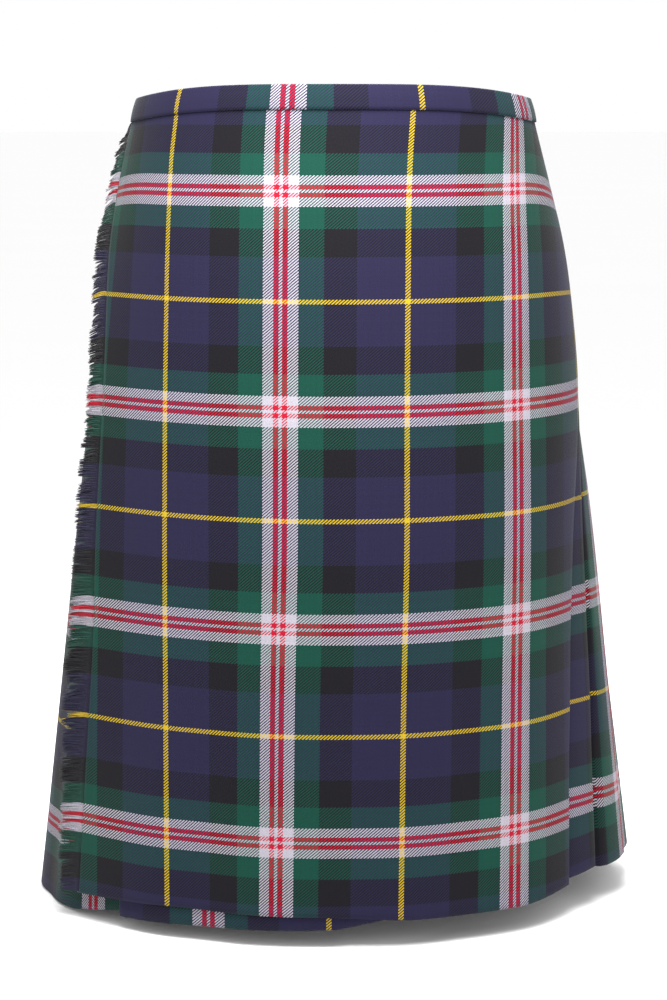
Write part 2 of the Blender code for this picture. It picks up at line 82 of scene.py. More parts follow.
# The courses of edges and folds, in degrees round from the front towards the wearer's left.
# The fringed edge's lift and the folds' tuck are in metres.
EDGE_COLUMNS = (
    "z", "fringed", "folded", "lift", "fringe_out", "tuck", "under_fold", "under_turn",
    "under_free", "last_pleat",
)
EDGE_ROWS = [
    (0.000, -97.0, 97.0, 0.0000, 12.0, 0.0000, -56.0, -42.0, 88.0, 248.0),
    (-0.020, -93.0, 96.5, 0.0000, 18.0, 0.0000, -56.0, -42.0, 88.0, 248.0),
    (-0.050, -80.5, 96.0, 0.0008, 22.0, 0.0000, -56.5, -42.0, 87.0, 249.0),
    (-0.120, -69.5, 93.0, 0.0025, 16.0, 0.0000, -57.5, -42.0, 84.0, 250.0),
    (-0.165, -64.7, 90.0, 0.0045, 14.0, 0.0000, -57.0, -41.0, 80.0, 251.0),
    (-0.210, -61.5, 83.5, 0.0060, 13.0, 0.0008, -56.0, -39.0, 75.0, 252.0),
    (-0.260, -59.5, 75.0, 0.0070, 14.0, 0.0035, -53.5, -38.0, 68.0, 253.0),
    (-0.320, -57.6, 66.8, 0.0080, 15.0, 0.0060, -51.0, -36.0, 61.0, 254.0),
    (-0.400, -54.8, 60.5, 0.0080, 14.0, 0.0080, -48.0, -33.0, 55.0, 255.0),
    (-0.500, -53.8, 55.0, 0.0075, 12.0, 0.0090, -45.0, -29.0, 49.0, 256.0),
    (-0.620, -53.0, 50.5, 0.0050, 8.0, 0.0100, -42.0, -26.0, 44.0, 257.0),
]

# Height, and how far one pleat stands outside the next there.
OPEN_ROWS = [
    (0.000, 2.0 * PLEAT_LAYER),
    (-0.210, 2.0 * PLEAT_LAYER),
    (-0.260, 0.0044),
    (-0.320, 0.0054),
    (-0.400, 0.0062),
    (-0.620, 0.0074),
]

# A fold counted in pleats from the over apron's, and its shares of the tuck and the winding.
STAND_COLUMNS = ("fold", "tuck_share", "spiral_share")
STAND_ROWS = [
    (0.0, 1.00, 0.0),
    (4.0, -0.45, 4.0 / PLEATS),
    (10.0, 0.00, 10.0 / PLEATS),
    (16.0, 0.00, 1.0),
]
LIFT_SPAN = 24.0
TUCK_SPAN = 38.0

# Soft creases and swells that every layer of cloth shares: the angle at the waist, how far
# it wanders by the hem, half its width, how far it stands out, and where it starts.
CREASE_ROWS = [
    (-44.0, 9.0, 7.0, 0.0016, -0.16),
    (-29.0, 5.0, 5.5, -0.0013, -0.30),
    (-17.0, 3.0, 8.0, 0.0010, -0.10),
    (3.0, 2.0, 6.0, -0.0009, -0.33),
    (14.0, -4.0, 7.0, 0.0012, -0.22),
    (31.0, -6.0, 6.0, -0.0014, -0.18),
    (52.0, -12.0, 6.5, 0.0013, -0.12),
    (80.0, -6.0, 5.0, 0.0019, -0.20),
    (101.0, -3.0, 6.5, -0.0016, -0.30),
    (118.0, 3.0, 4.5, 0.0022, -0.16),
    (139.0, 2.0, 7.0, -0.0018, -0.25),
    (158.0, -3.0, 5.0, 0.0024, -0.14),
    (176.0, 1.0, 6.0, -0.0020, -0.34),
    (191.0, 4.0, 4.5, 0.0018, -0.20),
    (212.0, 2.0, 8.0, -0.0022, -0.26),
    (231.0, -2.0, 5.0, 0.0024, -0.15),
    (249.0, 3.0, 6.0, -0.0015, -0.31),
    (268.0, 2.0, 7.0, -0.0022, -0.18),
    (285.0, 3.0, 5.5, -0.0030, -0.28),
]

CREASE_FOOT = 0.60
EASE_REACH = 0.020
LOWEST = -0.620
TOP_REACH = 0.05
HEM_REACH = 0.07
HALF_CHORD = 0.05
LEVEL_STEP = 0.005
LEVELS = -LEVEL_STEP * np.arange(125)
ROUND = np.arange(-180.0, 400.5, 0.5)
STATIONS = np.arange(-8.0, 20.1, 0.25)


def column(rows, where, name="value", names=("at", "value")):
    """One column of a table at a place in its first column, straight between rows."""
    rows = sorted(rows)
    at = names.index(name)
    return np.interp(where, [row[0] for row in rows], [row[at] for row in rows])


def eased(rows, z, *named):
    """The same reading as column, averaged over five places up to 20 mm above and below, and
    over less near the table's two ends, so that a course has no corners."""
    z = np.asarray(z, float)
    reach = np.clip(np.minimum(-z, z - LOWEST), 0.0, EASE_REACH)
    return np.mean([column(rows, z + reach * share, *named) for share in (-1, -0.5, 0, 0.5, 1)], axis=0)


def smooth(share):
    """A smooth step, flat at both ends, from 0 at a share of 0 to 1 at a share of 1."""
    share = np.clip(share, 0.0, 1.0)
    return share * share * (3.0 - 2.0 * share)


def blend(first, last, share):
    """Straight between two values: the first at a share of 0, and the last at 1."""
    return first * (1.0 - share) + last * share


def form(name, z):
    """A size of the body form at height z."""
    return eased(FORM_ROWS, z, name, FORM_COLUMNS)


def edge(name, z):
    """The course of an edge or a fold at height z."""
    return eased(EDGE_ROWS, z, name, EDGE_COLUMNS)


def step(z):
    """How far one pleat stands outside the next at height z."""
    return eased(OPEN_ROWS, z)


def fold_depth(fold, z):
    """Depth of a pleat's outer fold: the tuck at that height times the fold's share of it,
    plus the fold's share of the slow winding inward round the back."""
    tucked = column(STAND_ROWS, fold, "tuck_share", STAND_COLUMNS)
    wound = column(STAND_ROWS, fold, "spiral_share", STAND_COLUMNS)
    return edge("tuck", z) * tucked + PLEAT_SPIRAL * wound


def outline(angle, z):
    """The form's section: half width times the sine, and depth times the cosine, each to the
    power two over the roundness, measured from the widest line."""
    turn = np.radians(angle)
    side = np.sin(turn)
    ahead = np.cos(turn)
    power = np.where(ahead >= 0.0, 2.0 / FRONT_ROUNDNESS, 2.0 / BACK_ROUNDNESS)
    widest = form("widest_y", z)
    reach = np.where(ahead >= 0.0, -(form("front", z) + widest), form("back", z) - widest)
    x = form("half_width", z) * np.sign(side) * np.abs(side) ** power
    return x, widest + reach * np.abs(ahead) ** power


def outward(angle, z):
    """The level direction square to the section: the chord from a twentieth of a degree
    behind to a twentieth ahead, turned by a right angle."""
    ahead_x, ahead_y = outline(angle + HALF_CHORD, z)
    back_x, back_y = outline(angle - HALF_CHORD, z)
    length = np.hypot(ahead_x - back_x, ahead_y - back_y)
    return (ahead_y - back_y) / length, -(ahead_x - back_x) / length


def creased(angle, z):
    """How far the cloth stands out: for each crease, its height times a bell curve of the
    distance from its line, times a smooth rise from where it starts down to the hem."""
    total = np.zeros(np.broadcast(angle, z).shape)
    for at, wander, width, stands, starts in CREASE_ROWS:
        off = (angle - at + wander * z / CREASE_FOOT + 180.0) % 360.0 - 180.0
        total += stands * np.exp(-(off / width) ** 2) * smooth((starts - z) / (starts + CREASE_FOOT))
    return total


def on_form(angle, z, depth=0.0):
    """Points at a depth inside the form's outer skin, carried out by the shared creases."""
    angle, z, depth = np.broadcast_arrays(np.asarray(angle, float), z, depth)
    x, y = outline(angle, z)
    out_x, out_y = outward(angle, z)
    inward = depth - creased(angle, z)
    return np.stack([x - out_x * inward, y - out_y * inward, z], axis=-1)


def girth_rows():
    """For each level, the distance along the section from the front to each angle of ROUND:
    the running sum of the chords."""
    x, y = outline(ROUND[None, :], LEVELS[:, None])
    run = np.cumsum(np.hypot(np.diff(x), np.diff(y)), axis=1)
    run = np.concatenate([np.zeros((len(LEVELS), 1)), run], axis=1)
    return run - run[:, [int(np.argmin(np.abs(ROUND)))]]


def read_rows(rows, marks, z, at):
    """A table with a row per level and a column per evenly spaced mark, read at heights and
    marks, straight both ways."""
    z, at = np.broadcast_arrays(np.asarray(z, float), np.asarray(at, float))
    down = np.clip(-z / LEVEL_STEP, 0.0, len(LEVELS) - 1.001)
    over = np.clip((at - marks[0]) / (marks[1] - marks[0]), 0.0, len(marks) - 1.001)
    row = down.astype(int)
    col = over.astype(int)
    down = down - row
    over = over - col
    upper = blend(rows[row, col], rows[row, col + 1], over)
    lower = blend(rows[row + 1, col], rows[row + 1, col + 1], over)
    return blend(upper, lower, down)


RUNS = girth_rows()
FIRST_RUNS = np.array([np.interp(at, ROUND, run) for at, run in zip(edge("folded", LEVELS), RUNS)])
LAST_RUNS = np.array([np.interp(at, ROUND, run) for at, run in zip(edge("last_pleat", LEVELS), RUNS)])
FACES = (LAST_RUNS - FIRST_RUNS) / PLEATS
STATION_ROWS = np.array([
    np.interp(first + STATIONS * face, run, ROUND) for first, face, run in zip(FIRST_RUNS, FACES, RUNS)
])


def along(angle, z):
    """Distance round the section from the front to an angle."""
    return read_rows(RUNS, ROUND, z, angle)


def station_angle(station, z):
    """The angle of a pleat station, counted in faces from the over apron's folded edge."""
    return read_rows(STATION_ROWS, STATIONS, z, station)


def face_width(z):
    """The width of one pleat's face at height z."""
    return np.interp(-np.asarray(z), -LEVELS, FACES)


def waist_dip(angle):
    """How far the top edge falls at the hips: the fourth power of the sine."""
    return WAIST_DIP * np.abs(np.sin(np.radians(angle))) ** 4


def turn_round(radius, turns=6):
    """A half circle from the face to the leg behind it: how far it goes beyond the fold, the
    radius times the sine, and how deep, the radius times one less the cosine."""
    sweep = np.linspace(0.0, math.pi, turns)[1:-1]
    return radius * np.sin(sweep), radius * (1.0 - np.cos(sweep))


def heights(rows, columns, top, hem):
    """Heights of a sheet's grid: even steps from the top to the mean hem. The last 7 cm are
    carried to the column's own hem, and the first 5 cm to its own top, both by a smooth step."""
    lowest = float(np.mean(hem))
    z = np.linspace(0.0, lowest, rows)[:, None] * np.ones((1, columns))
    low = smooth((lowest + HEM_REACH - z) / HEM_REACH)
    return z + (hem - lowest) * low + top * smooth((z + TOP_REACH) / TOP_REACH)


def hung(angles_at, columns, rows, selvedge, hem_rows):
    """Angles and heights of a panel's grid. Its hem is read at the angles its columns have at
    the selvedge's height, and its top edge dips at the hips."""
    hem = column(hem_rows, angles_at(np.full((1, columns), selvedge)))
    top = -TOP_GAP - waist_dip(angles_at(np.zeros((1, columns))))
    z = heights(rows, columns, top, hem)
    return angles_at(z), z


def grid_faces(rows, columns, start=0):
    """The four-sided faces of a grid of points, numbered row after row from start."""
    index = start + np.arange(rows * columns).reshape(rows, columns)
    quads = np.stack([index[:-1, :-1], index[1:, :-1], index[1:, 1:], index[:-1, 1:]], axis=-1)
    return quads.reshape(-1, 4)


def placed(name, data):
    """A new object, in the scene."""
    made = bpy.data.objects.new(name, data)
    bpy.context.scene.collection.objects.link(made)
    return made


def mesh_object(name, points, faces, skin, weave=None):
    """An object from points and faces. Where each point has a place in the weave, that is its
    cloth map, in metres, and the surface is smooth."""
    mesh = bpy.data.meshes.new(name)
    mesh.from_pydata(points, [], faces)
    if weave is not None:
        used = np.zeros(len(mesh.loops), np.int32)
        mesh.loops.foreach_get("vertex_index", used)
        cloth_map = mesh.uv_layers.new(name="cloth")
        cloth_map.data.foreach_set("uv", weave[used].astype(np.float32).ravel())
        mesh.shade_smooth()
    mesh.materials.append(skin)
    return placed(name, mesh)


def add_wall(made, name, thickness):
    """Solidify gives a sheet its wall, half of it on each side."""
    wall = made.modifiers.new(name, "SOLIDIFY")
    wall.thickness = thickness
    wall.offset = 0.0


def cloth_piece(name, grids):
    """One tartan object from one or more sheets. A sheet is a grid of points with the place of each
    in the weave: across the cloth, and up from its selvedge."""
    points, faces, weave, start = [], [], [], 0
    for place, across, up in grids:
        rows, columns = place.shape[:2]
        faces.append(grid_faces(rows, columns, start))
        points.append(place.reshape(-1, 3))
        weave.append(np.stack(np.broadcast_arrays(across, up), axis=-1).reshape(-1, 2))
        start += rows * columns
    points, faces, weave = np.concatenate(points), np.concatenate(faces), np.concatenate(weave)
    made = mesh_object(name, points, faces, tartan_wool, weave)
    add_wall(made, "Cloth", CLOTH)
    return made


# The sett, from the middle of the thin white line to the middle of the yellow one, in
# threads: where each colour starts. It is mirrored at both ends, and is the same across the
# cloth and along it. The colours are display values, 0 to 255.
SETT_THREADS = 141.0
TWILL = 4.0
THREAD_GAIN = (0.16, 0.92)
SETT_ROWS = [
    (0.0, "white"),
    (2.0, "red"),
    (8.0, "white"),
    (20.0, "green"),
    (48.0, "black"),
    (84.0, "blue"),
    (138.0, "yellow"),
]
THREADS = {
    "white": (147, 143, 152),
    "red": (148, 8, 34),
    "green": (3, 53, 42),
    "black": (10, 8, 14),
    "blue": (24, 21, 47),
    "yellow": (164, 138, 22),
}
HALF_SETT = 0.0892
HALF_SETT_UP = 0.0765
WARP_PITCH = HALF_SETT / SETT_THREADS
WEFT_PITCH = HALF_SETT_UP / SETT_THREADS
WHITE_ABOVE_HEM = 0.054


def dyed(red, green, blue):
    """A dye's display values, 0 to 255, as the linear colour that a shader takes."""
    shares = np.array([red, green, blue]) / 255.0
    linear = np.where(shares <= 0.04045, shares / 12.92, ((shares + 0.055) / 1.055) ** 2.4)
    return (*linear.tolist(), 1.0)


def node(tree, kind, **settings):
    """A node of a kind, with its settings."""
    made = tree.nodes.new(kind)
    for name, value in settings.items():
        setattr(made, name, value)
    return made


def feed(tree, made, inputs):
    """Link sockets to a node's inputs, or set their values, by name or number."""
    for key, value in inputs.items():
        if isinstance(value, bpy.types.NodeSocket):
            tree.links.new(value, made.inputs[key])
        elif value is not None:
            made.inputs[key].default_value = value


def calc(tree, operation, first, second=None, third=None):
    """A Math node on sockets or numbers."""
    made = node(tree, "ShaderNodeMath", operation=operation)
    feed(tree, made, {0: first, 1: second, 2: third})
    return made.outputs[0]


def mixed(tree, share, first, second, blend_type="MIX"):
    """A colour mix of two sockets or colours."""
    made = node(tree, "ShaderNodeMix", data_type="RGBA", blend_type=blend_type)
    feed(tree, made, {0: share, 6: first, 7: second})
    return made.outputs[2]


def noise(tree, place, scale, detail=2.0):
    """The value of a noise texture at a place."""
    made = node(tree, "ShaderNodeTexNoise")
    feed(tree, made, {"Vector": place, "Scale": scale, "Detail": detail})
    return made.outputs[0]


def add_bump(tree, shader, height, strength, distance):
    """Bump a shader by a height, to a distance in metres."""
    made = node(tree, "ShaderNodeBump")
    feed(tree, made, {"Strength": strength, "Distance": distance, "Height": height})
    tree.links.new(made.outputs[0], shader.inputs["Normal"])


def material(name):
    """A new material, its node tree and its shader."""
    made = bpy.data.materials.new(name)
    made.use_nodes = True
    return made, made.node_tree, made.node_tree.nodes["Principled BSDF"]


def cloth_place(tree):
    """The cloth map: the place itself, its first measure and its second."""
    place = node(tree, "ShaderNodeUVMap", uv_map="cloth")
    split = node(tree, "ShaderNodeSeparateXYZ")
    tree.links.new(place.outputs[0], split.inputs[0])
    return place.outputs[0], split.outputs[0], split.outputs[1]


def weft_count(tree, up):
    """The height above the hem as a count of weft threads from the first white line."""
    return calc(tree, "DIVIDE", calc(tree, "SUBTRACT", up, WHITE_ABOVE_HEM), WEFT_PITCH)


def stripe(tree, thread):
    """The colour of a thread: its number folded back and forth over half a sett, read from
    the sett's table. Its brightness varies a little from thread to thread."""
    half = calc(tree, "PINGPONG", calc(tree, "ADD", thread, 0.5), SETT_THREADS)
    ramp = node(tree, "ShaderNodeValToRGB")
    ramp.color_ramp.interpolation = "CONSTANT"
    for number, (starts, name) in enumerate(SETT_ROWS):
        if number < 2:
            stop = ramp.color_ramp.elements[number]
            stop.position = starts / SETT_THREADS
        else:
            stop = ramp.color_ramp.elements.new(starts / SETT_THREADS)
        stop.color = dyed(*THREADS[name])
    tree.links.new(calc(tree, "DIVIDE", half, SETT_THREADS), ramp.inputs[0])
    uneven = node(tree, "ShaderNodeTexWhiteNoise", noise_dimensions="1D")
    tree.links.new(thread, uneven.inputs["W"])
    gain = calc(tree, "MULTIPLY_ADD", uneven.outputs["Value"], *THREAD_GAIN)
    return mixed(tree, 1.0, ramp.outputs[0], gain, "MULTIPLY")


def tartan(name):
    """Worsted tartan. The thread numbers are the place across and along the cloth over the
    thread pitch. The warp shows where their difference, modulo four, is under two, which is a
    2/2 twill rising to the right, and the weft elsewhere. Bump rounds the thread on top."""
    made, tree, shader = material(name)
    place, across, up = cloth_place(tree)
    across = calc(tree, "DIVIDE", across, WARP_PITCH)
    up = weft_count(tree, up)
    warp_thread = calc(tree, "FLOOR", across)
    weft_thread = calc(tree, "FLOOR", up)
    apart = calc(tree, "SUBTRACT", warp_thread, weft_thread)
    warp_up = calc(tree, "LESS_THAN", calc(tree, "FLOORED_MODULO", apart, TWILL), TWILL / 2)
    colour = mixed(tree, warp_up, stripe(tree, weft_thread), stripe(tree, warp_thread))
    fuzz = noise(tree, place, 700.0, 3.0)
    hair = calc(tree, "MULTIPLY_ADD", fuzz, 0.3, 0.85)
    round_warp = calc(tree, "MULTIPLY", calc(tree, "PINGPONG", across, 0.5), 2.0)
    round_weft = calc(tree, "MULTIPLY", calc(tree, "PINGPONG", up, 0.5), 2.0)
    top = node(tree, "ShaderNodeMix", data_type="FLOAT")
    feed(tree, top, {0: warp_up, 2: round_weft, 3: round_warp})
    add_bump(tree, shader, calc(tree, "MULTIPLY_ADD", fuzz, 0.6, top.outputs[0]), 0.35, 0.00012)
    feed(tree, shader, {
        "Base Color": mixed(tree, 1.0, colour, hair, "MULTIPLY"),
        "Roughness": calc(tree, "MULTIPLY_ADD", fuzz, 0.2, 0.72),
        "Specular IOR Level": 0.15,
        "Sheen Weight": 0.05,
        "Sheen Roughness": 0.45,
    })
    return made


# How the warp lies on the body: where the white line in the middle of the front runs, how
# wide half a sett is on its two sides, and how wide beyond the first yellow line.
LAY_COLUMNS = ("z", "middle", "half_right", "half_left", "half_edge")
LAY_ROWS = [
    (0.000, -0.0340, 0.0835, 0.0925, 0.0892),
    (-0.017, -0.0352, 0.0838, 0.0922, 0.0892),
    (-0.034, -0.0366, 0.0872, 0.0918, 0.0892),
    (-0.080, -0.0368, 0.0890, 0.0900, 0.0892),
    (-0.130, -0.0372, 0.0894, 0.0900, 0.0892),
    (-0.220, -0.0376, 0.0898, 0.0898, 0.0892),
    (-0.325, -0.0378, 0.0890, 0.0900, 0.0905),
    (-0.430, -0.0401, 0.0850, 0.0900, 0.0920),
    (-0.600, -0.0418, 0.0817, 0.0899, 0.0942),
]

# The lower edge: an angle, and the edge's height there.
OVER_HEM_ROWS = [
    (-55.0, -0.590),
    (-30.0, -0.586),
    (0.0, -0.587),
    (15.0, -0.590),
    (38.0, -0.5905),
    (52.0, -0.586),
]
OVER_SELVEDGE = -0.587
OVER_ROWS = 150
OVER_FRONT_COLUMNS = 78
OVER_TAIL = np.linspace(-3.0, 0.0, 18)
LEG_COLUMNS = 9
TURNED_FACE = 0.033
FOLD_EASE = 0.11
FOLD_EASE_FROM = 2.3
HIP_FROM = 56.0
HIP_SPAN = 24.0
HIP_DROP = 0.0058
HIP_MOST = 1.2


def hip_drop(angle, z):
    """How far the weft drops where the cloth turns round the hips, by the square of the angle
    past 56 degrees, easing out down to 22 cm."""
    past = np.clip((np.abs(angle) - HIP_FROM) / HIP_SPAN, 0.0, HIP_MOST)
    return HIP_DROP * past ** 2 * np.interp(z, (-0.22, -0.15, -0.09), (0.0, 0.3, 1.0))


def laid_across(run, z):
    """The place in the sett of a point of the over apron: its distance from the middle white
    line, over the width of half a sett there, times the sett's own half width. Past the first
    yellow line on the wearer's right the rest is measured from that line the same way, and
    towards the folded edge the sett runs a little slower."""
    read = [eased(LAY_ROWS, z, name, LAY_COLUMNS) for name in LAY_COLUMNS[1:]]
    middle, half_right, half_left, half_edge = read
    off = run - middle
    inside = np.maximum(off, np.where(off < 0.0, -half_right, off))
    beyond = HALF_SETT / half_edge * np.minimum(off + half_right, 0.0)
    beyond = beyond - FOLD_EASE * np.maximum(off - FOLD_EASE_FROM * half_left, 0.0)
    return inside * HALF_SETT / np.where(off < 0.0, half_right, half_left) + beyond


TURN_BEYOND, TURN_DEEPER = turn_round(PLEAT_LAYER / 2)


def behind_fold(fold, z):
    """Depths of the columns past a fold: round the turn, and then straight back to just
    outside the third layer in."""
    turned = np.concatenate([TURN_DEEPER, np.full(LEG_COLUMNS, PLEAT_LAYER)])[None, :]
    start = fold_depth(fold, z) + CLOTH / 2 + turned
    end = fold_depth(fold + 1.0, z) + CLOTH / 2 + (DEEP + 1) * step(z) - PLEAT_LAYER
    share = np.concatenate([np.zeros(len(TURN_DEEPER)), np.linspace(0.0, 1.0, LEG_COLUMNS)])[None, :]
    return blend(start, end, share)


def over_apron_grid():
    """Columns run from the fringed edge to the fold, round it, and back under the panel. The
    depth rises by the square of the distance to the fringed edge, which stands off, and
    falls by the square of the distance to the folded edge, which is tucked in."""
    leg = np.linspace(0.0, -DEEP, LEG_COLUMNS)
    tail = np.concatenate([OVER_TAIL, TURN_BEYOND / TURNED_FACE, leg])[None, :]
    columns = OVER_FRONT_COLUMNS - 1 + tail.size

    def angles_at(z):
        last = station_angle(OVER_TAIL[0], z[:, :1])
        share = np.linspace(0.0, 1.0, OVER_FRONT_COLUMNS)[None, :-1]
        plain = blend(edge("fringed", z[:, :1]), last, share)
        return np.concatenate([plain, station_angle(tail, z[:, OVER_FRONT_COLUMNS - 1:])], axis=1)

    angles, z = hung(angles_at, columns, OVER_ROWS, OVER_SELVEDGE, OVER_HEM_ROWS)
    off_fringe = np.clip((edge("fringed", z) + LIFT_SPAN - angles) / LIFT_SPAN, 0.0, None)
    off_fold = np.clip((angles - edge("folded", z) + TUCK_SPAN) / TUCK_SPAN, 0.0, None)
    depth = CLOTH / 2 - edge("lift", z) * off_fringe ** 2 + edge("tuck", z) * off_fold ** 2
    turned = columns - len(leg) - len(TURN_BEYOND)
    depth[:, turned:] = behind_fold(0.0, z[:, turned:])
    across = laid_across(along(angles, z), z)
    at_fold = across[:, turned - 1:turned]
    round_fold = np.linspace(0.0, math.pi * PLEAT_LAYER / 2, len(TURN_BEYOND) + 2)[None, 1:]
    under = at_fold + round_fold[:, -1:] - leg[None, 1:] * face_width(z[:, :1])
    across[:, turned:] = np.concatenate([at_fold + round_fold, under], axis=1)
    return on_form(angles, z, depth), across, z + hip_drop(angles, z) - OVER_SELVEDGE


tartan_wool = tartan("worsted_tartan")
over_apron = cloth_piece("over_apron_cloth", [over_apron_grid()])
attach(over_apron, "root")
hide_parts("over_apron")

# --- Fringe ---
# The over apron's unravelled edge: the warp is drawn out over the last 11 to 25 mm, so only
# weft ends are left. Each keeps its stripe's colour. They cling in uneven locks and droop.

# Height, and the fringe's reach there.
FRINGE_REACH_ROWS = [
    (-0.02, 0.0110), (-0.05, 0.0150), (-0.22, 0.0165), (-0.32, 0.0215), (-0.42, 0.0250), (-0.59, 0.0215),
]
FRINGE_SWING = 9.0
FRINGE_TOP = -0.027
FRINGE_HEM = -0.5885
FRINGE_INSIDE = 0.0012
FRINGE_RINGS = 8
STRAND = 0.00036
STRAND_PITCH = 0.00020
STRAND_LENGTH = (0.88, 1.0)
STRAND_STRAY = 0.0004
STRAND_TAPER = 0.45
TAPER_POWER = 6
LOCKS = 118
LOCK_SEED = 4
LOCK_LENGTH = (0.82, 1.0)
LOCK_DROOP = (0.0005, 0.0032)
LOCK_DRAW = (0.05, 0.35)
LOCK_WAVE = (0.0004, 0.0018)
WAVE_TURN = 4.0
PHASE_STRAY = 0.35
UPPER_DROOP = 0.0030
UPPER_SPAN = 0.25


def fringe_wool(name):
    """Loose weft ends: the weft's stripe at the height where the end leaves the cloth. A noise makes the
    hairs lighter and darker: partly the wool's uneven tone, partly a painted highlight for light caught on
    the locks."""
    made, tree, shader = material(name)
    place, _, up = cloth_place(tree)
    colour = stripe(tree, calc(tree, "FLOOR", weft_count(tree, up)))
    hair_tone_and_highlight = noise(tree, place, 900.0)
    # Painted highlight: this gain lifts some hairs up to 1.4 times the stripe's colour for light caught on
    # the locks; the rest of its spread is the wool's uneven tone.
    gain = calc(tree, "MULTIPLY_ADD", hair_tone_and_highlight, 0.9, 0.50)
    add_bump(tree, shader, hair_tone_and_highlight, 0.4, 0.0001)
    feed(tree, shader, {
        "Base Color": mixed(tree, 1.0, colour, gain, "MULTIPLY"),
        "Roughness": 0.8,
        "Specular IOR Level": 0.3,
        "Sheen Weight": 0.08,
    })
    return made


def fringe_points():
    """Points of every strand, strands by rings by corners. A strand leaves the edge along the
    section's tangent, turned outward. It sinks by the square of its run, is drawn to the middle
    of its lock by the same square, and waves by a sine whose phase belongs to the lock."""
    rng = np.random.default_rng(LOCK_SEED)
    root_z = np.arange(FRINGE_TOP, FRINGE_HEM, -STRAND_PITCH)
    cuts = np.sort(rng.uniform(FRINGE_HEM, FRINGE_TOP, LOCKS - 1))
    lock = np.searchsorted(cuts, root_z)
    middle = np.array([root_z[lock == n].mean() if (lock == n).any() else 0.0 for n in range(LOCKS)])[lock]
    length = rng.uniform(*LOCK_LENGTH, LOCKS)[lock] * rng.uniform(*STRAND_LENGTH, len(root_z))
    droop = rng.uniform(*LOCK_DROOP, LOCKS)[lock] + UPPER_DROOP * np.clip(1.0 + root_z / UPPER_SPAN, 0.0, 1.0)
    draw = rng.uniform(*LOCK_DRAW, LOCKS)[lock]
    phase = rng.uniform(0.0, 2.0 * math.pi, LOCKS)[lock] + rng.normal(0.0, PHASE_STRAY, len(root_z))
    wave = rng.uniform(*LOCK_WAVE, LOCKS)[lock]
    stray = rng.normal(0.0, STRAND_STRAY, (len(root_z), 2))

    angle = edge("fringed", root_z)
    root = on_form(angle, root_z, CLOTH / 2 - edge("lift", root_z))
    out_x, out_y = outward(angle, root_z)
    out = np.stack([out_x, out_y, np.zeros_like(out_x)], axis=-1)
    tangent = np.stack([out_y, -out_x, np.zeros_like(out_x)], axis=-1)
    swing = np.radians(edge("fringe_out", root_z) + FRINGE_SWING)[:, None]
    away = tangent * np.cos(swing) + out * np.sin(swing)
    level = -tangent * np.sin(swing) + out * np.cos(swing)

    run = np.linspace(0.0, 1.0, FRINGE_RINGS)[None, :]
    reach = column(FRINGE_REACH_ROWS, root_z)
    far = run * (length * reach)[:, None] - FRINGE_INSIDE
    sink = (droop[:, None] - draw[:, None] * (middle - root_z)[:, None]) * run ** 2
    sway = wave[:, None] * np.sin(phase[:, None] + WAVE_TURN * run) * run
    centre = root[:, None, :] + away[:, None, :] * far[..., None] + level[:, None, :] * sway[..., None]
    lying = (CLOTH / 2 + 0.0001) * (1.0 - run) ** 2
    centre = centre + level[:, None, :] * (stray[:, None, 0] * run + lying)[..., None]
    centre[..., 2] += stray[:, None, 1] * run - sink
    corner = np.radians([90.0, 210.0, 330.0])
    thick = STRAND * (1.0 - STRAND_TAPER * run ** TAPER_POWER)[..., None, None]
    ring = level[:, None, None, :] * np.cos(corner)[None, None, :, None]
    ring = ring + np.array([0.0, 0.0, 1.0]) * np.sin(corner)[None, None, :, None]
    return centre[:, :, None, :] + ring * thick, root_z, far


def strand_mesh(name, points, across, up, skin):
    """Closed three-sided strands from an array of strands by rings by corners."""
    strands, rings, corners = points.shape[:3]
    index = np.arange(strands * rings * corners).reshape(strands, rings, corners)
    onward = np.roll(index, -1, axis=2)
    walls = np.stack([index[:, :-1], onward[:, :-1], onward[:, 1:], index[:, 1:]], axis=-1).reshape(-1, 4)
    roots = index[:, 0, ::-1]
    tips = index[:, -1]
    place = np.stack(np.broadcast_arrays(across, up[:, None]), axis=-1)[:, :, None, :]
    place = np.repeat(place, corners, axis=2).reshape(-1, 2)
    faces = walls.tolist() + roots.tolist() + tips.tolist()
    return mesh_object(name, points.reshape(-1, 3), faces, skin, place)


strands, strand_roots, strand_runs = fringe_points()
fringe = strand_mesh(
    "apron_fringe_strands", strands, strand_runs, strand_roots - OVER_SELVEDGE, fringe_wool("loose_weft_ends")
)
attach(fringe, "root")
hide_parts("apron_fringe")

# --- Under apron ---
# The inner front panel, of the same cloth. It goes from its free edge, inside the wearer's left
# hip, across the front to the reverse pleat on the right, where it is folded back behind.

UNDER_HEM_ROWS = [(-45.0, -0.6015), (-30.0, -0.5995), (0.0, -0.5965), (20.0, -0.590), (45.0, -0.584)]
UNDER_SELVEDGE = -0.5965
UNDER_WHITE = -0.0925
UNDER_RAMP = (-4.5, -2.3)
UNDER_ROWS = 110
UNDER_COLUMNS = (9, 70, 8)
UNDER_BULGE = 0.6
UNDER_LEAST = 2.0
LOOSE = 0.0008


def waist_share(z):
    """1 under the waistband, 0 where the layers hang free, straight between."""
    return np.interp(z, (FREE_BELOW, BAND_FOOT), (0.0, 1.0))


def layer_depth(count, z):
    """Depth of the count-th layer in from the over apron, looser below the waistband."""
    share = waist_share(z)
    return CLOTH / 2 + blend(count * FREE_LAYER, (count + 1) * BAND_LAYER, share)


def under_depth(angles, z):
    """Shallow across the front, and sloping in under the first deep pleats."""
    deepest = edge("tuck", z) + (DEEP + 1) * step(z) + layer_depth(1, z) + 2.0 * LOOSE
    start = station_angle(UNDER_RAMP[0], z)
    end = station_angle(UNDER_RAMP[1], z)
    share = np.clip((angles - start) / (end - start), 0.0, 1.0)
    return blend(layer_depth(1, z), deepest, share)


